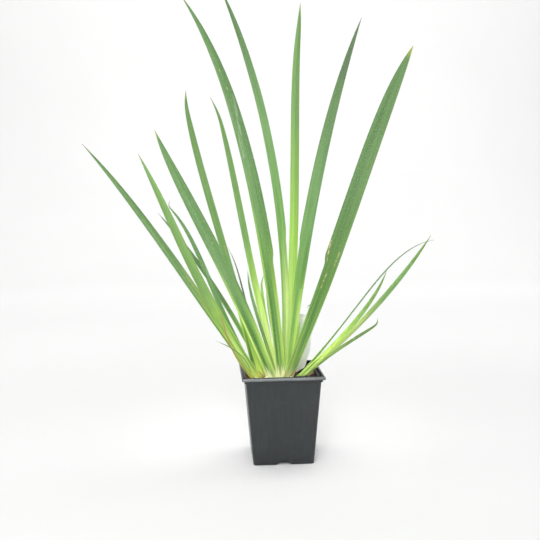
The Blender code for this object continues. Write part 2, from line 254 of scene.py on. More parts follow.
def set_camera():
    ahead = Vector((
        math.sin(CAMERA_YAW) * math.cos(CAMERA_PITCH),
        math.cos(CAMERA_YAW) * math.cos(CAMERA_PITCH),
        -math.sin(CAMERA_PITCH),
    ))
    level = Vector((math.cos(CAMERA_YAW), -math.sin(CAMERA_YAW), 0.0))
    above = level.cross(ahead)
    right = level * math.cos(CAMERA_ROLL) + above * math.sin(CAMERA_ROLL)
    up = above * math.cos(CAMERA_ROLL) - level * math.sin(CAMERA_ROLL)
    data = bpy.data.cameras.new("camera")
    data.sensor_width = SENSOR
    data.lens = SENSOR * FOCAL_PIXELS / IMAGE_PIXELS
    data.clip_start = 0.02
    camera = link(bpy.data.objects.new("camera", data))
    turn = Matrix((right, up, -ahead)).transposed().to_4x4()
    camera.matrix_world = Matrix.Translation(CAMERA_PLACE) @ turn
    bpy.context.scene.camera = camera


def area_light(name, place, aim, size, power, colour=(1.0, 1.0, 1.0), spread=180.0):
    data = bpy.data.lights.new(name, "AREA")
    data.shape = "RECTANGLE"
    data.size, data.size_y = size
    data.spread = math.radians(spread)
    data.energy = power
    data.color = colour
    lamp = link(bpy.data.objects.new(name, data))
    lamp.location = place
    lamp.rotation_euler = (Vector(aim) - Vector(place)).to_track_quat("-Z", "Y").to_euler()


def set_light():
    scene = bpy.context.scene
    scene.view_settings.view_transform = "Standard"
    world = bpy.data.worlds.new("studio")
    world.use_nodes = True
    sky = world.node_tree.nodes["Background"]
    sky.inputs["Color"].default_value = (0.97, 0.985, 1.0, 1.0)
    sky.inputs["Strength"].default_value = 0.40
    scene.world = world
    area_light("key_softbox", (-1.3, -1.3, 1.7), (0.0, 0.0, 0.2), (1.4, 1.4), 10.0, (1.0, 0.99, 0.97))
    area_light("top_softbox", (0.1, 0.3, 2.0), (0.0, 0.0, 0.1), (2.0, 2.0), 11.0)
    area_light("front_fill", (-0.3, -2.4, 0.55), (0.0, 0.0, 0.12), (1.8, 0.9), 13.0)
    area_light("crown_light", (-0.15, -0.8, 0.75), (0.0, -0.01, 0.10), (0.5, 0.5), 2.2)
    area_light("crown_grid", (-0.15, -0.8, 0.72), (0.0, -0.01, 0.11), (0.2, 0.2), 0.075, spread=20.0)
    area_light("label_grid", (0.42, -0.60, 0.75), (0.03, 0.0, 0.12), (0.15, 0.15), 0.014, spread=14.0)
    area_light("left_softbox", (-2.2, 0.4, 0.8), (0.0, 0.0, 0.15), (1.2, 1.2), 9.0, (1.0, 0.98, 0.95))
    area_light("right_softbox", (2.2, 0.5, 0.8), (0.0, 0.0, 0.15), (1.2, 1.2), 6.0, (1.0, 0.98, 0.95))
    area_light("wall_light", (0.35, 0.6, 2.2), (0.35, 2.6, 0.6), (3.6, 1.0), 48.0)


def make_stage():
    """A pale floor that curves up into a wall far behind, with painted shade in a band behind the pot."""
    near, far, half, curve, top, steps = -1.8, 2.6, 3.2, 0.9, 3.0, 16
    profile = [(near, 0.0), (far - curve, 0.0)]
    profile += [
        (far - curve + curve * math.sin(a), curve - curve * math.cos(a))
        for a in (math.pi / 2.0 * i / steps for i in range(1, steps + 1))
    ]
    profile.append((far, top))
    bm = bmesh.new()
    rows = [[bm.verts.new((x, y, z)) for x in (-half, half)] for y, z in profile]
    for (a, b), (c, d) in zip(rows, rows[1:]):
        bm.faces.new((a, b, d, c))
    look = Look("pale_floor", 0.85)
    place = look.object_place()
    distance = look.split(place)[1]
    # Painted shade: the floor a little darker in a band behind the pot, fully from 0.35 m to 1 m, fading out
    # by -0.15 m and by 1.7 m
    middle = look.times(look.fit(distance, -0.15, 0.35), look.fit(distance, 1.7, 1.0))
    patches = look.fit(look.noise(place, 1.6), 0.35, 0.65)
    paper = look.blend(patches, (0.775, 0.775, 0.77), (0.79, 0.79, 0.785))
    look.colour(darker(look, middle, paper, (0.91, 0.91, 0.91)))
    floor = finish_mesh("floor", bm, look.material)
    floor.location.z = -0.02 * MM


def dress(piece, slot, *nodes):
    """The piece rides on the part and stands for the nodes given; its slot is not used."""
    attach(piece, BODY)
    if nodes:
        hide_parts(*nodes)


def pot_ring(bm, half, corner, height, rib):
    """A square with round corners, anticlockwise, its straight sides in fine steps with ribs."""
    ring = []
    middle = half - corner
    pitches = round(2.0 * (BODY_HALF - BODY_CORNER) / RIB_PITCH)
    steps = pitches * RIB_STEPS
    for quarter in range(4):
        turn = Matrix.Rotation(quarter * math.pi / 2.0, 3, "Z")
        for step in range(CORNER_STEPS + 1):
            angle = step * math.pi / 2.0 / CORNER_STEPS
            place = Vector((middle + corner * math.cos(angle), middle + corner * math.sin(angle), height))
            ring.append(bm.verts.new(turn @ place))
        for step in range(1, steps):
            phase = step / RIB_STEPS
            hollow = rib * (0.5 - 0.5 * math.cos(2.0 * math.pi * phase)) ** 5
            place = Vector((middle - 2.0 * middle * step / steps, half - hollow, height))
            ring.append(bm.verts.new(turn @ place))
    return ring


def wrap(bm, rings):
    """Faces between closed rings of as many vertices each, and one over each end."""
    count = len(rings[0])
    for lower, upper in zip(rings, rings[1:]):
        for i in range(count):
            bm.faces.new((lower[i], lower[(i + 1) % count], upper[(i + 1) % count], upper[i]))
    bm.faces.new(rings[0])
    bm.faces.new(rings[-1])


def wall_half(height):
    return BASE_HALF + (BODY_HALF - BASE_HALF) * height / COLLAR_BOTTOM


def rounded(centre_half, centre_height, radius, start, end, steps):
    """Half widths and heights along a fillet, its angles in degrees from outwards, turning upwards."""
    angles = [math.radians(start + (end - start) * i / steps) for i in range(steps + 1)]
    return [(centre_half + radius * math.cos(a), centre_height + radius * math.sin(a)) for a in angles]


def pot_look():
    """Charcoal moulded plastic: long draw marks, faint dust, and a rim lighter outside, partly scuffs and
    partly painted highlight, and dull inside.
    """
    look = Look("charcoal_plastic", 0.34)
    place = look.object_place()
    x, y, z = look.split(place)
    marks = look.noise(look.stretch((x, y, z), (320.0, 320.0, 6.0)), 1.0, 4.0, 0.6)
    dust = look.noise(place, 60.0, 5.0, 0.65)
    base = look.blend(look.fit(marks, 0.3, 0.72), (0.0145, 0.0182, 0.0198), (0.0215, 0.0257, 0.0277))
    dusty = look.times(look.fit(dust, 0.52, 0.75), 0.12)
    body = look.blend(dusty, base, (0.085, 0.080, 0.072))
    # The rim's outer band is lighter: partly scuffs, partly painted highlight where light falls on the lip;
    # it reaches further in on the +x side, where light falls inside the rim
    from_middle = look.math("ABSOLUTE", look.math("ADD", x, PAINTED_HIGHLIGHT_SHIFT))
    across = look.math("MAXIMUM", from_middle, look.math("ABSOLUTE", y))
    flange = look.fit(z, FLANGE_BOTTOM, FLANGE_BOTTOM + 0.6 * MM)
    outer = look.times(flange, look.fit(across, FLANGE_HALF - 1.5 * MM, FLANGE_HALF - 0.7 * MM))
    scuff_and_highlight = look.times(outer, look.fit(dust, 0.25, 0.6, 0.5, 0.9))
    look.colour(look.blend(scuff_and_highlight, body, (0.158, 0.171, 0.172)))
    inner = look.times(flange, look.fit(across, FLANGE_HALF - 1.0 * MM, FLANGE_HALF - 1.8 * MM))
    dull = look.times(inner, 0.45)
    look.feed(look.shader.inputs["Specular IOR Level"], look.math("SUBTRACT", 0.5, dull))
    look.roughness(look.fit(marks, 0.25, 0.75, 0.28, 0.40))
    look.bump(marks, 0.18, 0.12 * MM)
    return look.material


def prism(bm, wide, narrow, low, high, near, far, side):
    """A block with a trapezoid section against one side of the foot, pointing inwards."""
    block = bmesh.ops.create_cube(bm, size=1.0)["verts"]
    for vertex in block:
        width = narrow if vertex.co.z > 0.0 else wide
        height = high if vertex.co.z > 0.0 else low
        depth = far if vertex.co.y > 0.0 else near
        vertex.co = Vector((vertex.co.x * width, depth, height))
    bmesh.ops.rotate(bm, verts=block, cent=(0, 0, 0), matrix=Matrix.Rotation(side * math.pi / 2.0, 3, "Z"))


def foot_tool(name, *block):
    """Four blocks, one on each side of the foot, to join to or cut from the pot."""
    bm = bmesh.new()
    for side in range(4):
        prism(bm, *block, side)
    mesh = bpy.data.meshes.new(name)
    bm.to_mesh(mesh)
    bm.free()
    return link(bpy.data.objects.new(name, mesh))


def pot_sections():
    """Half widths and heights, up the outside and down the inside, and how many the outer wall has."""
    edge = EDGE_ROUND
    inner_rim = COLLAR_HALF - WALL
    ledge = COLLAR_BOTTOM + LEDGE
    sections = [(BASE_HALF - edge, 0.0), (BASE_HALF, edge)]
    sections += [(wall_half(COLLAR_BOTTOM * i / 6.0), COLLAR_BOTTOM * i / 6.0) for i in range(1, 6)]
    sections += [(BODY_HALF, COLLAR_BOTTOM)]
    outer_wall = len(sections)
    sections += rounded(COLLAR_HALF - edge, COLLAR_BOTTOM + edge, edge, -90, 0, 3)
    sections += [(COLLAR_HALF, FLANGE_BOTTOM)]
    sections += rounded(FLANGE_HALF - edge, FLANGE_BOTTOM + edge, edge, -90, 0, 3)
    sections += rounded(FLANGE_HALF - LIP_ROUND, POT_HEIGHT - LIP_ROUND, LIP_ROUND, 0, 90, 6)
    sections += rounded(inner_rim + edge, POT_HEIGHT - edge, edge, 90, 180, 3)
    sections += [(inner_rim, ledge + edge), (inner_rim - edge, ledge), (BODY_HALF - WALL, ledge)]
    sections += [(wall_half(FLOOR) - WALL, FLOOR)]
    return sections, outer_wall


def cut_foot(pot):
    """Roofs, drainage notches and drain slots in the four sides of the foot."""
    far = -BASE_HALF + NOTCH_DEEP
    slot = -BASE_HALF + 0.55 * NOTCH_DEEP
    roof = (NOTCH_WIDE + 2.0 * WALL, NOTCH_NARROW + 2.0 * WALL, 0.3 * MM, NOTCH_HEIGHT + WALL)
    notch = (NOTCH_WIDE * 1.12, NOTCH_NARROW, -MM, NOTCH_HEIGHT)
    drain = (DRAIN_LONG, DRAIN_LONG, NOTCH_HEIGHT - MM, NOTCH_HEIGHT + 3.0 * MM)
    tools = (
        (foot_tool("roofs", *roof, -BASE_HALF + 0.4 * WALL, far + WALL), "UNION"),
        (foot_tool("notches", *notch, -BASE_HALF - 4.0 * MM, far), "DIFFERENCE"),
        (foot_tool("drains", *drain, slot - DRAIN_WIDE / 2.0, slot + DRAIN_WIDE / 2.0), "DIFFERENCE"),
    )
    for tool, operation in tools:
        step = pot.modifiers.new(tool.name, "BOOLEAN")
        step.operation = operation
        step.solver = "EXACT"
        step.object = tool
    settle(pot)
    for tool, _ in tools:
        bpy.data.objects.remove(tool, do_unlink=True)


def make_pot():
    """The pot with faint upright ribs on its outer wall, which fade out at the foot and the collar."""
    sections, outer_wall = pot_sections()
    bm = bmesh.new()
    rings = []
    for half, height in sections:
        outside = len(rings) < outer_wall
        inner = half < COLLAR_HALF - 0.5 * WALL and not outside
        corner = BODY_CORNER - WALL if inner else BODY_CORNER
        if height > FLANGE_BOTTOM - 0.1 * MM and half > COLLAR_HALF + 0.1 * MM:
            corner = FLANGE_CORNER
        ribbed = outside and EDGE_ROUND <= height <= COLLAR_BOTTOM - 2.0 * MM
        rings.append(pot_ring(bm, half, corner, height, RIB_DEPTH if ribbed else 0.0))
    wrap(bm, rings)
    pot = finish_mesh("nursery_pot", bm, pot_look(), POT_SHARP)
    cut_foot(pot)
    pot.data.shade_smooth()
    pot.data.set_sharp_from_angle(angle=math.radians(POT_SHARP))
    dress(pot, "pot_plastic", "pot")


def soil_height(x, y):
    """Height of the soil's surface, level along the pot's wall, with clods between."""
    edge = smooth(10.0 * MM, BODY_HALF - 2.0 * WALL - max(abs(x), abs(y)))
    waves = math.sin(x / (6.1 * MM) + 0.7) * math.cos(y / (5.3 * MM)) + 0.6 * math.sin((x + y) / (9.7 * MM))
    clods = noise.fractal(Vector((x, y, 0.0)) / (3.4 * MM), 1.0, 2.2, 4)
    return SOIL_TOP + (SOIL_RELIEF * waves * edge + CLOD_RELIEF * clods * (0.35 + 0.65 * edge)) * MM


def soil_look():
    """Dark damp compost: nearly black with brown fibres and a few lighter grains."""
    look = Look("potting_mix", 0.9)
    place = look.object_place()
    lumps = look.noise(place, 420.0, 6.0, 0.7)
    grains = look.noise(place, 1500.0, 3.0, 0.6)
    base = look.ramp(lumps, (
        (0.25, (0.006, 0.004, 0.003)),
        (0.5, (0.028, 0.018, 0.012)),
        (0.8, (0.085, 0.052, 0.032)),
    ))
    look.colour(look.blend(look.fit(grains, 0.62, 0.72, 0.0, 0.5), base, (0.16, 0.115, 0.08)))
    look.bump(grains, 0.6, 0.4 * MM)
    return look.material


def make_soil_surface(skin):
    """A crumbly slab over the block of soil, closed with a skirt and a bottom."""
    half = wall_half(SOIL_TOP) - WALL - 0.15 * MM
    low = SOIL_TOP - SLAB_DEEP
    bm = bmesh.new()
    grid = bmesh.ops.create_grid(bm, x_segments=SOIL_STEPS, y_segments=SOIL_STEPS, size=half)["verts"]
    round_corner = BODY_CORNER - WALL
    for vertex in grid:
        x, y = vertex.co.x, vertex.co.y
        over_x, over_y = abs(x) - (half - round_corner), abs(y) - (half - round_corner)
        if over_x > 0.0 and over_y > 0.0:
            shrink = max(over_x, over_y) / math.hypot(over_x, over_y)
            x = math.copysign(half - round_corner + over_x * shrink, x)
            y = math.copysign(half - round_corner + over_y * shrink, y)
        vertex.co = Vector((x, y, soil_height(x, y)))
    rim = [edge for edge in bm.edges if edge.is_boundary]
    skirt = bmesh.ops.extrude_edge_only(bm, edges=rim)["geom"]
    for item in skirt:
        if isinstance(item, bmesh.types.BMVert):
            item.co.z = low
    hem = [item for item in skirt if isinstance(item, bmesh.types.BMEdge) and item.is_boundary]
    bmesh.ops.contextual_create(bm, geom=hem)
    dress(finish_mesh("soil_surface", bm, skin, 50.0), "soil")


def lump(bm, centre, size, seed):
    """An irregular crumb: a ball pushed in and out, squashed and turned by its seed."""
    draw = random.Random(seed)
    made = bmesh.ops.create_icosphere(bm, subdivisions=1, radius=0.5)["verts"]
    angle = draw.uniform(0.0, math.tau)
    axis = Vector((draw.uniform(-1, 1), draw.uniform(-1, 1), 1.0))
    turn = Matrix.Rotation(angle, 3, axis)
    shift = Vector((seed * 3.7, seed * 1.3, 0.0))
    for vertex in made:
        out = 1.0 + 0.55 * noise.noise(vertex.co * 3.1 + shift)
        vertex.co = turn @ Vector((vertex.co.x * size[0], vertex.co.y * size[1], vertex.co.z * size[2])) * out
        vertex.co += centre


def make_crumbs(skin):
    draw = random.Random(CRUMB_SEED)
    bm = bmesh.new()
    reach = wall_half(SOIL_TOP) - WALL - 1.6 * MM
    for i in range(CRUMB_COUNT):
        size = (0.9 + 2.6 * draw.random() ** 3) * MM
        x = draw.uniform(-reach, reach)
        y = draw.uniform(-reach, reach)
        span = [size * draw.uniform(0.7, 1.25) for _ in range(3)]
        lump(bm, Vector((x, y, soil_height(x, y) + 0.15 * size)), span, i)
    dress(finish_mesh("soil_crumbs", bm, skin, 60.0), "soil")


def bark_look(name, dark, light):
    """Fibrous bark in two shades, its layers drawn out along X."""
    look = Look(name, 0.85)
    place = look.object_place()
    layers = look.noise(look.stretch(look.split(place), (500.0, 1400.0, 1400.0)), 1.0, 4.0, 0.6)
    look.colour(look.blend(look.fit(layers, 0.3, 0.7), dark, light))
    look.bump(layers, 0.5, 0.3 * MM)
    return look.material


def make_fibres(skin):
    """Thin splinters that lie about on the soil."""
    draw = random.Random(FIBRE_SEED)
    bm = bmesh.new()
    reach = wall_half(SOIL_TOP) - 6.5 * MM
    for _ in range(FIBRE_COUNT):
        length = draw.uniform(3.0, 9.0) * MM
        wide = draw.uniform(0.35, 1.1) * MM
        x, y = draw.uniform(-reach, reach), draw.uniform(-reach, reach)
        turn = draw.uniform(0.0, math.tau)
        tilt = draw.uniform(-0.25, 0.25)
        bend = draw.uniform(-0.12, 0.12)
        centre = Vector((x, y, soil_height(x, y) + 0.9 * MM))
        along = Vector((math.cos(turn), math.sin(turn), math.sin(tilt)))
        aside = Vector((-math.sin(turn), math.cos(turn), 0.0))
        rings = []
        for i in range(FIBRE_STEPS + 1):
            s = i / FIBRE_STEPS - 0.5
            middle = centre + along * (s * length) + aside * (bend * length * 4 * s * s)
            girth = wide * (1.0 - 3.2 * s * s) * 0.5
            ring = []
            for k in range(FIBRE_STEPS):
                angle = math.tau * k / FIBRE_STEPS
                rise = Vector((0, 0, 0.45 * girth * math.sin(angle)))
                ring.append(bm.verts.new(middle + aside * (girth * math.cos(angle)) + rise))
            rings.append(ring)
        wrap(bm, rings)
    dress(finish_mesh("soil_fibres", bm, skin), "bark")


def make_bark_chips(skin):
    """Splintered layered chips in the places and sizes of the bark nodes, the first one propped up."""
    for i in range(1, 5):
        node = f"bark_chip_{i}"
        low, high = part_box(node)
        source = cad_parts[node].data
        bm = bmesh.new()
        bm.from_mesh(source)
        bmesh.ops.remove_doubles(bm, verts=bm.verts[:], dist=0.01 * MM)
        bmesh.ops.dissolve_limit(bm, angle_limit=0.01, verts=bm.verts[:], edges=bm.edges[:])
        bmesh.ops.subdivide_edges(bm, edges=bm.edges[:], cuts=7, use_grid_fill=True)
        centre = (low + high) / 2.0
        for vertex in bm.verts:
            out = (vertex.co - centre).normalized()
            rough = noise.fractal(vertex.co / (1.6 * MM) + Vector((i * 9.0, 0, 0)), 1.0, 2.0, 4)
            steps = math.floor((vertex.co.z - low.z) / (0.55 * MM)) % 2
            vertex.co += out * (0.28 * rough - 0.22 * steps - 0.1) * MM
            if i == 1:
                vertex.co.z += CHIP_TILT * (vertex.co.x - centre.x) + CHIP_LIFT
        bmesh.ops.triangulate(bm, faces=bm.faces[:])
        dress(finish_mesh(f"bark_{i}", bm, skin, 40.0), "bark", node)


def label_look():
    """White plastic with soil specks near the foot, and nearly black under a slanted line there, higher
    towards the right.
    """
    look = Look("white_label_plastic", 0.38)
    place = look.object_place()
    x, y, _ = look.split(place)
    # Nearly black under a line that slants up to the right near the foot; the specks above it are soil
    slanted = look.math("SUBTRACT", y, look.times(x, 0.7))
    specks = look.times(look.noise(place, 260.0, 5.0, 0.7), look.fit(y, 3.0 * MM, 8.0 * MM, 1.0, 0.0))
    soil = look.math("MAXIMUM", specks, look.fit(slanted, 5.2 * MM, 6.4 * MM, 1.0, 0.0))
    base = look.blend(look.fit(look.noise(place, 35.0), 0.4, 0.6), (0.94, 0.94, 0.93), (0.97, 0.97, 0.96))
    look.colour(look.blend(look.fit(soil, 0.3, 0.6), base, (0.030, 0.022, 0.018)))
    look.bump(look.noise(place, 900.0), 0.06, 0.1 * MM)
    return look.material


def make_label():
    """A blank stake label with soft edges, in the place of its node."""
    half = LABEL_WIDTH / 2.0
    side = [(1.0, -14.0), (2.2, -2.0), (3.0, 3.0), (5.1, 7.2), (7.5, 13.0), (half / MM, 31.0)]
    side = [(x * MM, y * MM) for x, y in side]
    for step in range(9):
        angle = step * math.pi / 16.0
        inwards = LABEL_CORNER * (1.0 - math.cos(angle))
        side.append((half - inwards, LABEL_TALL + LABEL_CORNER * math.sin(angle)))
    outline = side + [(-x, y) for x, y in reversed(side)]
    curve = bpy.data.curves.new("stake_label", "CURVE")
    curve.dimensions = "2D"
    curve.fill_mode = "BOTH"
    curve.extrude = LABEL_THICK / 2.0 - LABEL_BEVEL
    curve.bevel_depth = LABEL_BEVEL
    curve.offset = -LABEL_BEVEL
    curve.bevel_resolution = 2
    spline = curve.splines.new("POLY")
    spline.use_cyclic_u = True
    spline.points.add(len(outline) - 1)
    for point, (x, y) in zip(spline.points, outline):
        point.co = (x, y, 0.0, 1.0)
    label = link(bpy.data.objects.new("stake_label", curve))
    curve.materials.append(label_look())
    label.matrix_world = (
        Matrix.Translation(LABEL_PLACE)
        @ Matrix.Rotation(LABEL_LEAN, 4, "Y")
        @ Matrix.Rotation(math.pi / 2.0, 4, "X")
    )
    bpy.context.view_layer.update()
    dress(label, "label_plastic", "label")


def spine_points(leaf, count):
    """Points and directions along a blade's middle line, from foot to tip, with the bend near the tip."""
    step = leaf["length"] * MM / count
    place = Vector((leaf["x"], leaf["y"], FAN_FOOT[leaf["fan"]] - leaf["drop"])) * MM
    points = [place.copy()]
    for i in range(count):
        t = (i + 0.5) / count
        start, hook = HOOKS.get(leaf["node"], (0.0, 0.0))
        curl = hook * smooth(1.0 - start, t - start)
        lean = math.radians(leaf["lean"] + leaf["bow"] * t + leaf["nod"] * t**5 + curl)
        out = math.radians(leaf["out"] + leaf["spread"] * t)
        level = math.cos(out)
        place += step * Vector((math.sin(lean) * level, -math.sin(out), math.cos(lean) * level))
        points.append(place.copy())
    ahead = points[1:] + [2.0 * points[-1] - points[-2]]
    behind = [2.0 * points[0] - points[1]] + points[:-1]
    return [(p, (b - a).normalized()) for p, a, b in zip(points, behind, ahead)]


def half_width(leaf, side, t):
    """Half the blade's width towards one side: sheath, shoulder, blade and tapering tip."""
    width = leaf["base"] + (leaf["wide"] - leaf["base"]) * smooth(0.4, t)
    half = width / 2.0
    if side * leaf["shoulder"] > 0.0:
        half -= abs(leaf["shoulder"]) * (1.0 - smooth(SHOULDER_RUN, t - leaf["shoulder_at"])) * abs(side)
    half *= (1.0 - t ** leaf["taper"]) ** 0.9
    return max(half * MM, TIP_WIDTH / 2.0)


def blade_ring(bm, leaf, t, place, ahead, across, layer, phase):
    """One closed section of a blade: its front from edge to edge, and then its back."""
    flat = Vector((0.0, 1.0, 0.0)).cross(ahead).normalized()
    face = flat.cross(ahead).normalized()
    turn = math.radians(leaf["twist"]) * smooth(0.8, t - 0.15)
    across_blade = flat * math.cos(turn) + face * math.sin(turn)
    normal = across_blade.cross(ahead)
    slope = math.tan(math.radians(leaf["lean"]))
    run = t * leaf["length"]
    ring = []
    for front in (1.0, -1.0):
        for j in range(across + 1):
            side = front * (2.0 * j / across - 1.0)
            half = half_width(leaf, side, t)
            keel = 2.0 * half * KEEL * smooth(0.3, t) * (1.0 - abs(side))
            level = side * half * slope * (1.0 - smooth(0.2, t))
            body = (1.0 - side * side) ** 0.6 * (1.0 - 0.45 * t) * min(1.0, half / (2.2 * MM))
            thick = BLADE_EDGE + (BLADE_MIDDLE - BLADE_EDGE) * body
            vein = VEIN_HEIGHT * (0.5 if j % 2 else -0.5) * min(1.0, half / (2.5 * MM))
            vein *= 1.0 - abs(side) ** 6
            wave = WAVE_HEIGHT * side * side * math.sin(run / WAVE_RUN + phase)
            wave *= smooth(0.3, t) * min(1.0, half / (4.0 * MM))
            lift = keel + wave + front * (thick / 2.0 + vein)
            vertex = bm.verts.new(place + across_blade * (side * half) + normal * lift + ahead * level)
            vertex[layer] = Vector((side, t, run * MM))
            ring.append(vertex)
    return ring


def make_leaf(leaf, skin):
    """A blade like its node's, with a lens-shaped section, raised veins and slightly waved edges."""
    veins = max(3, round(leaf["wide"] / VEIN_PITCH))
    across = 2 * veins
    along = max(40, round(leaf["length"] / STATION))
    phase = 7.0 * noise.noise(Vector((leaf["x"], leaf["y"], leaf["length"])))
    bm = bmesh.new()
    layer = bm.verts.layers.float_vector.new("blade")
    rings = []
    for i, (place, ahead) in enumerate(spine_points(leaf, along)):
        rings.append(blade_ring(bm, leaf, i / along, place, ahead, across, layer, phase))
    wrap(bm, rings)
    blade = finish_mesh(f"blade_{leaf['node']}", bm, skin)
    dress(blade, SLOTS[leaf["look"]], leaf["node"])


# Bends near the tip: where they start along the blade, and how far they turn, in degrees
HOOKS = {
    "middle_fan_thin_hooked": (0.90, -170.0),
    "right_fan_hooked": (0.90, -60.0),
    "left_fan_hooked": (0.955, 76.0),
    "left_fan_dried": (0.94, 100.0),
    "middle_fan_light_left": (0.88, -11.0),
    "middle_fan_upright": (0.90, -5.5),
    "middle_fan_short_light": (0.85, 25.0),
    "left_fan_tall": (0.90, 9.0),
}

SLOTS = {"deep": "leaf_deep", "bright": "leaf_bright", "pale": "leaf_pale", "dry": "leaf_dried"}

# Colours along a blade, from the foot up: crown, lower blade, upper blade, tip
SHADES = {
    "deep": ((0.92, 0.92, 0.52), (0.140, 0.305, 0.064), (0.166, 0.308, 0.112), (0.42, 0.42, 0.14)),
    "bright": ((0.92, 0.94, 0.46), (0.430, 0.700, 0.122), (0.202, 0.372, 0.112), (0.48, 0.50, 0.18)),
    "pale": ((0.78, 0.85, 0.42), (0.500, 0.760, 0.180), (0.330, 0.580, 0.130), (0.62, 0.62, 0.24)),
    "dry": ((0.42, 0.20, 0.07), (0.230, 0.120, 0.050), (0.200, 0.120, 0.050), (0.22, 0.11, 0.05)),
    "curl": ((0.30, 0.42, 0.12), (0.200, 0.340, 0.085), (0.100, 0.190, 0.070), (0.14, 0.22, 0.09)),
    "dry_edge": ((0.50, 0.22, 0.07), (0.260, 0.110, 0.040), (0.420, 0.230, 0.080), (0.62, 0.24, 0.08)),
    "dry_tip": ((0.80, 0.80, 0.40), (0.110, 0.230, 0.050), (0.130, 0.170, 0.080), (0.26, 0.16, 0.09)),
}
SHADES_OF = {
    "left_fan_dried_curl": "curl",
    "left_fan_dried": "dry_edge",
    "middle_fan_thin_left": "dry_tip",
}
LIME = (0.61, 0.83, 0.16)
PALE_LIME = (0.78, 0.90, 0.34)
DARK = (0.080, 0.200, 0.042)
SIDE_CROWN = {"left_fan": (0.77, 0.87, 0.16), "right_fan": (0.60, 0.78, 0.24)}
PALE_MARGIN = (0.70, 0.84, 0.30)
PALE_STREAK = (0.60, 0.78, 0.26)
LIGHT_STREAK = (0.44, 0.70, 0.14)
BLOOM = (0.27, 0.42, 0.24)
SHADOW_STREAK = (0.46, 0.62, 0.44)
TAN = (0.76, 0.54, 0.28)
RUST = (0.40, 0.15, 0.05)
ORANGE_RUST = (0.64, 0.27, 0.08)
BLOOM_STREAK = (0.46, 0.56, 0.38)
GREY_GREEN = (0.125, 0.165, 0.105)
OLIVE = (0.180, 0.320, 0.050)

# Heights, shares and tones of what lies over the colours along a blade
CROWN_LOW = 91.5 * MM
CROWN_HIGH = 105.0 * MM
SHEATH_HIGH = 142.0 * MM
MARGIN_HIGH = 190.0 * MM
STREAKS_HIGH = 210.0 * MM
STRIP_END = 0.003
CROWN_SHARE = {
    "middle_fan_broad_right": 0.35,
    "left_fan_tall": 0.55,
    "left_fan_bright": 0.60,
    "right_fan_hooked": 0.30,
    "right_fan_sheath_leaf": 0.45,
    "right_fan_long": 0.30,
    "right_fan_thin_arching": 0.30,
}
BLOOM_SHARE = {"deep": 0.62, "bright": 0.3, "pale": 0.1, "dry": 0.1}
STREAK_SHARE = {"deep": 1.0, "bright": 0.65, "pale": 0.3, "dry": 0.4}

# Brightness of the lower and the upper part, that of the top against the upper part, and the share of
# the length where the colour has changed to the upper one
LEAF_TONES = {
    "middle_fan_broad_left": (0.94, 1.00, 1.16, 0.45),
    "middle_fan_broad_right": (0.75, 0.87, 1.02, 0.70),
    "middle_fan_tall_broad": (0.98, 1.09, 0.98, 0.60),
    "middle_fan_tall_right": (1.04, 1.22, 0.60, 0.60),
    "middle_fan_short_dark": (0.95, 0.95, 1.00, 0.60),
    "middle_fan_light_left": (1.10, 1.00, 1.00, 0.58),
    "middle_fan_pale_shoot": (1.10, 1.30, 1.00, 0.80),
    "middle_fan_tall_slim": (1.35, 1.50, 0.56, 0.70),
    "middle_fan_upright": (0.96, 1.11, 0.88, 0.78),
    "middle_fan_short_light": (1.00, 1.00, 1.00, 0.80),
    "middle_fan_narrow_strip": (0.90, 0.90, 1.00, 0.60),
    "middle_fan_back_left": (1.25, 0.90, 1.00, 0.50),
    "middle_fan_thin_left": (1.00, 1.00, 1.00, 0.60),
    "middle_fan_thin_hooked": (0.90, 0.90, 1.00, 0.50),
    "left_fan_tall": (1.00, 1.06, 0.80, 0.45),
    "left_fan_bright": (0.80, 0.84, 1.40, 0.50),
    "left_fan_low_arching": (0.80, 1.02, 1.00, 0.50),
    "left_fan_hooked": (1.15, 1.22, 1.00, 0.50),
    "left_fan_dried": (1.00, 1.00, 1.00, 0.50),
    "left_fan_dried_curl": (1.00, 1.00, 1.00, 0.60),
    "right_fan_hooked": (0.55, 0.60, 0.90, 0.40),
    "right_fan_sheath_leaf": (1.04, 1.05, 0.90, 0.80),
    "right_fan_long": (1.28, 1.06, 1.00, 0.40),
    "right_fan_thin_arching": (1.00, 1.00, 1.00, 0.40),
}

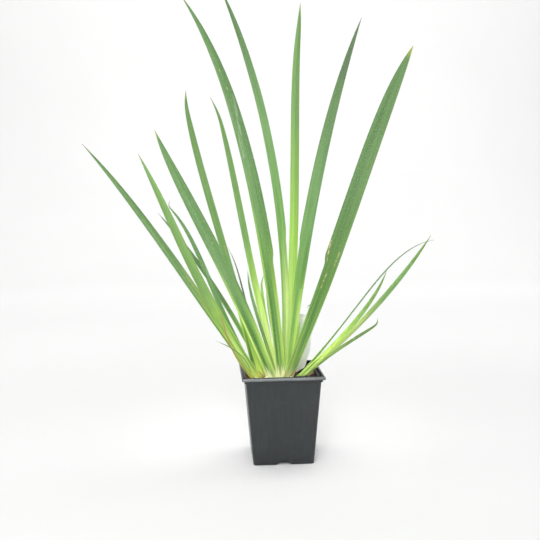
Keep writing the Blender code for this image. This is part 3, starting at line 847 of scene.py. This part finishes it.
# Soft lengthwise bands: start and end along the blade, side at the start and at the end, reach across,
# colour and strength
BANDS = {
    "middle_fan_broad_left": (
        (0.00, 0.60, -1.00, -1.00, 0.40, LIME, 0.85),
        (0.00, 0.24, -0.70, -0.80, 0.45, LIME, 0.60),
        (0.00, 0.50, -0.25, -0.50, 0.40, DARK, 0.80),
        (0.00, 0.34, 0.90, 0.95, 0.60, LIME, 0.75),
    ),
    "middle_fan_broad_right": (
        (0.00, 0.36, -1.00, -1.00, 0.80, LIME, 0.25),
        (0.00, 0.40, 0.50, 0.50, 0.40, DARK, 0.60),
        (0.00, 0.16, 0.95, 0.95, 0.50, DARK, 0.80),
    ),
    "middle_fan_tall_broad": (
        (0.00, 0.42, 0.95, 0.95, 0.95, LIME, 0.75),
        (0.00, 0.45, -0.42, -0.40, 0.45, DARK, 0.85),
        (0.00, 0.60, -1.00, -1.00, 0.35, LIME, 0.50),
    ),
    "middle_fan_tall_right": (
        (0.00, 0.34, -1.00, -1.00, 0.80, LIME, 0.60),
        (0.00, 0.36, 1.00, 1.00, 0.80, LIME, 0.90),
        (0.28, 0.45, 0.50, 0.50, 0.30, DARK, 0.50),
        (0.84, 1.16, 0.00, 0.00, 3.00, GREY_GREEN, 0.50),
    ),
    "middle_fan_tall_slim": ((0.00, 0.42, 0.50, 0.70, 1.60, PALE_LIME, 0.85),),
    "middle_fan_upright": ((0.00, 0.38, 0.00, 0.00, 2.50, PALE_LIME, 0.50),),
    "middle_fan_light_left": ((0.00, 0.42, 0.00, 0.00, 2.50, PALE_LIME, 0.75),),
    "middle_fan_back_left": ((0.00, 0.50, 1.00, 1.00, 0.60, LIME, 0.80),),
    "left_fan_tall": (
        (0.00, 0.34, 0.30, 0.10, 0.70, LIME, 0.70),
        # Painted shade: a dark band near the foot on the left side, where this leaf meets its neighbours
        (0.00, 0.24, -0.60, -0.60, 0.60, DARK, 0.90),
    ),
    "left_fan_bright": (
        (0.02, 0.34, -0.25, -0.10, 0.40, PALE_LIME, 0.65),
        (0.00, 0.38, 0.85, 0.85, 0.60, DARK, 0.70),
        (0.34, 0.80, 0.00, 0.00, 3.00, LIGHT_STREAK, 0.12),
    ),
    "right_fan_hooked": (
        (0.00, 0.20, -0.80, -0.80, 0.80, LIME, 0.50),
        (0.00, 0.50, 0.40, 0.60, 0.60, DARK, 0.60),
    ),
    "right_fan_sheath_leaf": (
        (0.06, 0.60, 0.20, 0.20, 1.40, LIME, 0.60),
        (0.10, 0.46, 0.10, 0.30, 0.35, PALE_LIME, 0.60),
        (0.00, 0.26, -0.15, -0.60, 0.26, DARK, 0.95),
        (0.70, 1.30, 0.00, 0.00, 3.00, OLIVE, 0.60),
    ),
    "right_fan_long": (
        (0.00, 0.50, -0.30, -0.30, 1.60, LIME, 0.80),
        (0.16, 0.64, -0.60, -0.30, 1.40, PALE_LIME, 0.80),
        (0.84, 1.30, 0.00, 0.00, 3.00, OLIVE, 0.60),
    ),
    "left_fan_low_arching": (
        # Both bands lighten the right half: partly the leaf's own lighter green, partly painted light over
        # the shadow that left_fan_bright casts there
        (0.00, 0.44, 0.30, 0.30, 1.20, LIME, 0.50),
        (0.12, 0.56, 0.80, 0.80, 0.80, PALE_LIME, 0.60),
    ),
}

# Marks: start and end along the blade, side at the start and at the end, reach across, colour, strength
# and the grain in marks per metre, which is 0 for a mark in one piece
MARKS = {
    "middle_fan_broad_right": (
        (0.392, 0.454, -0.60, -0.90, 0.10, TAN, 0.8, 260.0),
        (0.388, 0.429, 0.55, 0.62, 0.10, TAN, 0.7, 260.0),
        (0.317, 0.362, -0.10, -0.05, 0.10, TAN, 0.7, 260.0),
        (0.028, 0.060, -0.75, -0.45, 0.50, ORANGE_RUST, 0.6, 420.0),
    ),
    "middle_fan_tall_broad": (
        (0.810, 0.814, -0.20, -0.20, 0.10, TAN, 0.7, 0.0),
        (0.765, 0.769, 0.00, 0.00, 0.10, TAN, 0.7, 0.0),
        (0.600, 0.750, -0.55, 0.40, 0.35, BLOOM_STREAK, 0.5, 60.0),
    ),
    "middle_fan_broad_left": ((0.57, 0.60, 0.10, 0.14, 0.12, TAN, 0.5, 260.0),),
    "left_fan_low_arching": ((0.42, 0.46, 0.20, 0.25, 0.14, TAN, 0.5, 260.0),),
    "left_fan_tall": ((0.44, 0.47, 0.30, 0.30, 0.12, TAN, 0.5, 260.0),),
    "left_fan_bright": ((0.02, 0.05, 0.0, 0.2, 0.6, ORANGE_RUST, 0.5, 420.0),),
}

# Colour of the tip, where it isn't that of the look
TIPS = {
    "middle_fan_broad_right": (0.60, 0.58, 0.04),
    "middle_fan_broad_left": (0.66, 0.64, 0.18),
    "middle_fan_tall_right": (0.20, 0.20, 0.12),
    "middle_fan_upright": (0.34, 0.50, 0.10),
    "left_fan_low_arching": (0.34, 0.22, 0.10),
}


def strip(look, side, t, row, fade_from):
    """The share, from 0 to 1, of a strip along the blade that fades out from fade_from to its end."""
    start, end, side_at_start, side_at_end, reach = row[:5]
    fade_in = look.fit(t, start - STRIP_END, start)
    along = look.times(fade_in, look.fit(t, fade_from, end + STRIP_END, 1.0, 0.0))
    line = look.fit(t, start, end, side_at_start, side_at_end)
    away = look.math("ABSOLUTE", look.math("SUBTRACT", side, line))
    return look.times(along, look.fit(away, reach * 0.5, reach, row[6], 0.0))


def leaf_colour(look, leaf, seed, side, t, run):
    """Colour along the blade: sheath, bands (a few of them painted shade or light), streaks, painted shade on
    one of the two halves, bloom, margins, crown and marks.
    """
    name = leaf["node"]
    low_tone, high_tone, top, upper_at = LEAF_TONES[name]
    crown, lower, upper, tip = SHADES[SHADES_OF.get(name, leaf["look"])]
    tip = TIPS.get(name, tip)
    lower = tuple(low_tone * part for part in lower)
    upper = tuple(high_tone * part for part in upper)
    middle = min(0.94, upper_at)
    high = tuple(top * part for part in upper)
    base = look.ramp(t, (
        (0.0, lower), (middle * 0.5, lower), (middle * 0.9, upper), (0.90, high), (0.965, high), (1.0, tip),
    ))
    crown = SIDE_CROWN.get(leaf["fan"], crown)
    height = look.split(look.object_place())[2]
    width = look.times(side, leaf["wide"] / 2.0)
    broad = look.noise(look.vector(width, look.times(run, 5.0), float(seed)), 0.5, 2.0, 0.5)
    fine = look.noise(look.vector(width, look.times(run, 9.0), seed + 40.0), 1.9, 2.0, 0.6)
    grain = look.noise(look.vector(width, look.times(run, 420.0), seed + 80.0), 1.1, 3.0, 0.6)
    vivid = STREAK_SHARE[leaf["look"]]
    low = look.fit(height, CROWN_HIGH, STREAKS_HIGH, vivid, 0.22 * vivid)
    sheath = look.fit(height, CROWN_HIGH, SHEATH_HIGH, 0.25, 0.0)
    colour = look.blend(sheath, base, LIME)
    for row in BANDS.get(name, ()):
        colour = look.blend(strip(look, side, t, row, 0.6 * row[0] + 0.4 * row[1]), colour, row[5])
    light = look.times(look.fit(broad, 0.51, 0.60, 0.0, 0.70), low)
    colour = look.blend(light, colour, look.blend(0.70, colour, LIGHT_STREAK))
    dark = look.times(look.fit(broad, 0.47, 0.36, 0.0, 0.80), low)
    colour = darker(look, dark, colour, SHADOW_STREAK)
    colour = darker(look, look.fit(fine, 0.48, 0.62, 0.0, 0.6 * vivid), colour, (0.55, 0.66, 0.52))
    thin = look.times(look.fit(fine, 0.42, 0.28, 0.0, 0.4), low)
    colour = look.blend(thin, colour, PALE_STREAK)
    # Painted shade: one half of the blade, picked by the seed, darker, as light falls unevenly on the two
    # sides of its fold
    half = 1.0 if seed % 2 else -1.0
    painted_fold_shade = look.fit(look.times(side, half), -0.06, 0.10, 0.0, 0.40 * vivid)
    colour = darker(look, painted_fold_shade, colour, (0.66, 0.74, 0.64))
    dusted = look.fit(grain, 0.48, 0.66, 0.0, BLOOM_SHARE[leaf["look"]])
    bloom = look.times(dusted, look.fit(t, 0.30, 0.75, 0.35, 1.0))
    colour = look.blend(bloom, colour, BLOOM)
    margin = look.fit(look.math("ABSOLUTE", side), 0.80, 0.92)
    margin = look.times(margin, look.fit(height, CROWN_HIGH, MARGIN_HIGH, 0.5, 0.0))
    colour = look.blend(margin, colour, PALE_MARGIN)
    ragged = look.math("ADD", height, look.times(look.math("SUBTRACT", broad, 0.5), 40.0 * MM))
    foot = look.fit(ragged, CROWN_LOW, CROWN_HIGH, CROWN_SHARE.get(name, 0.92), 0.0)
    colour = look.blend(foot, colour, crown)
    for row in MARKS.get(name, ()):
        band = strip(look, side, t, row, row[1])
        if row[7]:
            place = look.vector(look.times(width, 0.9), look.times(run, row[7]), seed + 7.0)
            band = look.times(band, look.fit(look.noise(place, 1.0, 1.0, 0.4), 0.46, 0.56))
        colour = look.blend(band, colour, row[5])
    return colour, grain


def leaf_look(leaf, seed):
    """The skin of one blade, from its own coordinates: across, along and the length run."""
    look = Look(f"skin_{leaf['node']}", 0.46, Specular_IOR_Level=0.25)
    side, t, run = look.blade_parts()
    colour, grain = leaf_colour(look, leaf, seed, side, t, run)
    look.colour(colour)
    look.roughness(look.fit(grain, 0.3, 0.7, 0.38, 0.54))
    width = look.times(side, leaf["wide"] / 2.0)
    ridges = look.noise(look.vector(width, look.times(run, 5.0), seed + 3.0), 3.5, 1.0, 0.4)
    look.bump(ridges, 0.3, 0.15 * MM)
    return look.material


LEAF_FIELDS = (
    "name", "look", "x", "y", "drop", "length", "wide", "base", "lean", "bow", "nod", "out", "spread",
    "twist", "taper", "shoulder", "shoulder_at",
)


def leaf_rows():
    """The leaves of each fan, in millimetres and degrees, from the front of the fan to its back.

    name, look, the foot's x and y and its drop below the fan's other feet, length, widest, base width,
    lean, bow, nod, out, spread, twist, taper, shoulder (how far one edge steps out, left edge negative)
    and the share of the length that the shoulder is at
    """
    return {
        "middle_fan": (
            ("broad_left", "deep", -6, -9.6, 0, 314, 13.6, 11, -19, -13, 11, 5, 14, -14, 6, 0, 0),
            ("broad_right", "deep", 0.6, -8, 0, 391, 17, 13, 22.1, -10, 12, 4.5, 16, 16, 9, -2.6, 0.38),
            ("tall_broad", "deep", 2, -6.4, 0, 434, 14.8, 12.4, -4, -14, -18, 4, 5, -18, 4.5, 2, 0.33),
            ("tall_right", "deep", 6.5, -4.8, 0, 409, 13.2, 8.8, 4.6, 12, 4, 2.5, 2, 14, 4.8, -1.4, 0.39),
            ("short_dark", "deep", -1.5, -3.2, 0, 139, 3.6, 3.8, -15, -5, 19, 1.5, 4, 0, 8, 0, 0),
            ("light_left", "bright", -1.5, -1.6, 0, 331, 7.2, 8.6, -13.4, 6, -9, 0, -4, -10, 7, 0, 0),
            ("pale_shoot", "pale", 5.5, -1.6, 0, 80, 5.6, 4.6, 11, 4, -4, 0, 2, 0, 4, 0, 0),
            ("tall_slim", "deep", 3.5, 0, 0, 458, 9.6, 9, 5, -25, -3, -3, -6, -16, 8, 1.2, 0.36),
            ("upright", "bright", 5, 1.6, 0, 443, 9.8, 7.4, 6.1, -9, 14, -4.5, -8, 12, 9, 0, 0),
            ("short_light", "pale", -2, 1.6, 0, 132, 4.5, 4, -10.5, 2, 13, -5, -6, 0, 5, 0, 0),
            ("narrow_strip", "deep", 2.5, 3.2, 0, 119, 3.5, 3.5, -9, -1, 10, -6, -4, 0, 5, 0, 0),
            ("back_left", "deep", -12, 3.2, 0, 237, 5.2, 5.6, -23.5, -17, -1, -6, -10, -8, 6, 0, 0),
            ("thin_left", "dry", -2.5, 4.8, 1.2, 170, 2.2, 2.6, -28.5, 30, -32, -8, -6, 0, 5, 0, 0),
            ("thin_hooked", "bright", 5, 4.8, 0, 104, 3, 3, 22, 2, -30, -2, 0, 0, 8, 0, 0),
        ),
        "left_fan": (
            ("tall", "bright", -22, 0, 0, 342, 8, 11, -13.5, -4, 10, -3, -8, 10, 10, 0, 0),
            ("bright", "bright", -19.9, -6.4, 1, 292, 10, 9, -33.5, 18, -11, 8, 10, 12, 5, 0, 0),
            ("low_arching", "deep", -24.5, -4.4, 0, 325, 9, 6, -32, -1, -7, 4, 18, -12, 3.8, 0, 0),
            ("hooked", "deep", -23, -2.4, 0, 230, 5.4, 6.6, -29.5, 17.4, -35.7, -1, -6, 8, 6, 0, 0),
            ("dried", "dry", -21.2, -8.4, 2, 109, 1.8, 2.4, -48.5, 49, -17, 10, 6, 0, 4, 0, 0),
            ("dried_curl", "dry", -33.5, -10.2, 2.7, 80, 1.4, 1.8, 11, -96, 25, 12, 10, 0, 5, 0, 0),
        ),
        "right_fan": (
            ("hooked", "bright", 21, -4.6, 0, 114, 3.8, 3.8, 45, 19, -14, 6, 8, 0, 8, 0, 0),
            ("sheath_leaf", "bright", 18, -2.6, 0, 161, 5.4, 8.2, 49, -18, -16, 3, 14, -8, 5, 0, 0),
            ("long", "bright", 16.5, -0.6, 0, 222, 5.8, 6.4, 53.5, -20, -1, 0, 4, 10, 6, 0, 0),
            ("thin_arching", "deep", 17.5, 1.6, 0, 224, 1.6, 3.4, 44, -15, 54, -3, 6, 0, 6, 0, 0),
        ),
    }


def make_leaves():
    seed = 0
    for fan, rows in leaf_rows().items():
        for row in rows:
            leaf = dict(zip(LEAF_FIELDS, row), fan=fan, node=f"{fan}_{row[0]}")
            seed += 5
            make_leaf(leaf, leaf_look(leaf, seed))


def scale_look(name, foot, top, rust):
    """Papery sheath tissue: pale at the foot, greener above, rust-coloured along its torn edges."""
    look = Look(name, 0.6)
    side, rise, _ = look.blade_parts()
    streaks = look.noise(look.vector(look.times(side, 9.0), rise, 3.0), 1.0, 3.0, 0.6)
    spots = look.noise(look.object_place(), 620.0, 3.0, 0.6)
    mixed = look.math("ADD", rise, look.times(streaks, 0.9))
    base = look.blend(look.fit(mixed, 0.55, 1.25), foot, top)
    base = darker(look, look.fit(streaks, 0.52, 0.70, 0.0, 0.35), base, (0.70, 0.80, 0.52))
    edge = look.math("MAXIMUM", look.fit(look.math("ABSOLUTE", side), 0.82, 1.0), look.fit(rise, 0.9, 1.0))
    worn = look.math("ADD", look.times(edge, 0.5), look.fit(spots, 0.5, 0.75, 0.0, 0.8))
    look.colour(look.blend(look.fit(worn, 0.55, 0.95, 0.0, rust), base, RUST))
    look.bump(streaks, 0.4, 0.3 * MM)
    return look.material


def make_scale(bm, layer, x, y, low, wide, tall, lean, curl, seed):
    """One clasping scale with a ragged top, in millimetres and degrees."""
    across, along = 16, 10
    slope = math.tan(math.radians(lean))
    rings = []
    for i in range(along + 1):
        rise = i / along
        ring = []
        for front in (1.0, -1.0):
            for j in range(across + 1):
                side = front * (2.0 * j / across - 1.0)
                ragged = 0.30 * noise.noise(Vector((side * 5.0, seed, 0.0)))
                height = rise * tall * (1.0 - 0.5 * abs(side) ** 1.7 + ragged)
                thick = 0.35 * (1.0 - 0.6 * rise)
                ripple = 0.12 * math.sin(side * 9.0 + seed) * rise
                vertex = bm.verts.new(Vector((
                    x + side * wide / 2.0 * (1.0 - 0.12 * rise) + slope * height,
                    y + curl * side * side - front * thick - ripple,
                    low + height,
                )) * MM)
                vertex[layer] = Vector((side, rise, 0.0))
                ring.append(vertex)
        rings.append(ring)
    wrap(bm, rings)


def make_scales():
    """Short sheaths that clasp the feet of the fans, and dry shreds of older ones."""
    fresh = scale_look("crown_tissue", (0.94, 0.95, 0.62), (0.84, 0.92, 0.46), 0.15)
    dry = scale_look("dry_sheath", (0.62, 0.30, 0.09), (0.46, 0.17, 0.06), 0.7)
    groups = (
        ("crown_sheaths", "leaf_pale", fresh, (
            (-13.0, -12.6, 86.0, 13.0, 8.0, -20.0, 2.2, 1.0),
            (-2.0, -13.0, 86.0, 14.5, 7.6, -5.0, 2.4, 2.0),
            (7.0, -13.6, 86.0, 10.0, 7.4, 22.0, 2.6, 3.0),
            (-26.0, -12.4, 86.5, 12.0, 7.0, -28.0, 2.0, 4.0),
            (18.0, 0.8, 86.5, 8.6, 25.0, 50.0, -1.0, 10.0),
        )),
        ("dry_shreds", "leaf_dried", dry, (
            (-26.0, -13.6, 87.0, 1.5, 9.0, -38.0, 0.6, 5.0),
            (-33.0, -12.0, 87.0, 1.5, 8.0, -38.0, 0.5, 6.0),
            (-16.5, -14.0, 87.0, 1.7, 14.0, -33.0, 0.6, 7.0),
            (3.0, -14.4, 87.0, 1.5, 14.0, 44.0, 0.4, 8.0),
            (0.5, -14.6, 87.5, 1.2, 6.0, 24.0, 0.4, 9.0),
        )),
    )
    for name, slot, skin, scales in groups:
        bm = bmesh.new()
        layer = bm.verts.layers.float_vector.new("blade")
        for scale in scales:
            make_scale(bm, layer, *scale)
        dress(finish_mesh(name, bm, skin), slot)


def dress_rhizome():
    """The rhizome keeps its node's shape and gets a ringed fibrous skin."""
    look = Look("rhizome_skin", 0.85)
    place = look.object_place()
    x = look.split(place)[0]
    rings = look.math("SINE", look.times(x, 2600.0))
    fibres = look.noise(place, 700.0, 5.0, 0.7)
    shade = look.math("ADD", look.times(rings, 0.15), fibres)
    look.colour(look.blend(look.fit(shade, 0.3, 0.75), (0.10, 0.05, 0.022), (0.36, 0.23, 0.11)))
    look.bump(shade, 0.6, 0.5 * MM)
    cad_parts["rhizome"].data.materials[0] = look.material


def main():
    set_camera()
    set_light()
    make_stage()
    make_pot()
    compost = soil_look()
    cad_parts["soil"].data.materials[0] = compost
    make_soil_surface(compost)
    make_crumbs(compost)
    make_fibres(bark_look("red_brown_bark", (0.16, 0.050, 0.022), (0.50, 0.22, 0.12)))
    # The chips' pale colours: partly their own, partly painted light against the shade inside the pot
    make_bark_chips(bark_look("pale_bark_and_painted_light", (0.56, 0.230, 0.115), (0.96, 0.64, 0.44)))
    dress_rhizome()
    make_label()
    make_leaves()
    make_scales()


main()
